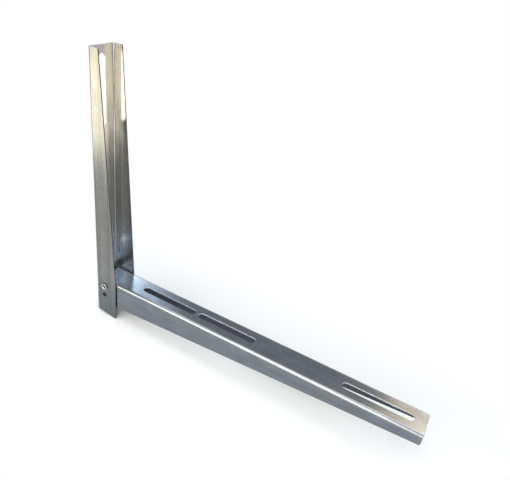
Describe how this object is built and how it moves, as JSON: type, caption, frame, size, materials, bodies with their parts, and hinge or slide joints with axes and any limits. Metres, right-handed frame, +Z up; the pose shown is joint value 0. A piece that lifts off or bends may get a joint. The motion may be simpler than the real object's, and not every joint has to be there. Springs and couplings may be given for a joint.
{
  "type": "air conditioner outdoor unit bracket",
  "caption": "Folding wall bracket of galvanised sheet steel: a slotted upright channel rail with a tapered, slotted channel arm that carries an air conditioner's outdoor unit.",
  "frame": {"origin": "on the wall, on the middle line of the rail's back and level with the top of the arm", "axes": "+X away from the wall along the arm, +Y along the wall across the bracket, +Z up the wall"},
  "size_m": [0.45, 0.044, 0.3598],
  "materials": {
    "galvanised_sheet": "zinc-coated cold-rolled sheet, fairly glossy with fine rolling streaks",
    "rivet_steel": "bright zinc plating"
  },
  "bodies": {
    "rail": {"wall_rail": "galvanised_sheet", "pivot_rivet_left": "rivet_steel", "pivot_rivet_right": "rivet_steel"},
    "arm": {"support_arm": "galvanised_sheet"}
  },
  "joints": [
    {"name": "arm_fold", "type": "hinge", "parent": "rail", "child": "arm", "pos_m": [0.014, 0, -0.0105], "axis": [0, -1, 0], "range_deg": [0, 90]}
  ]
}
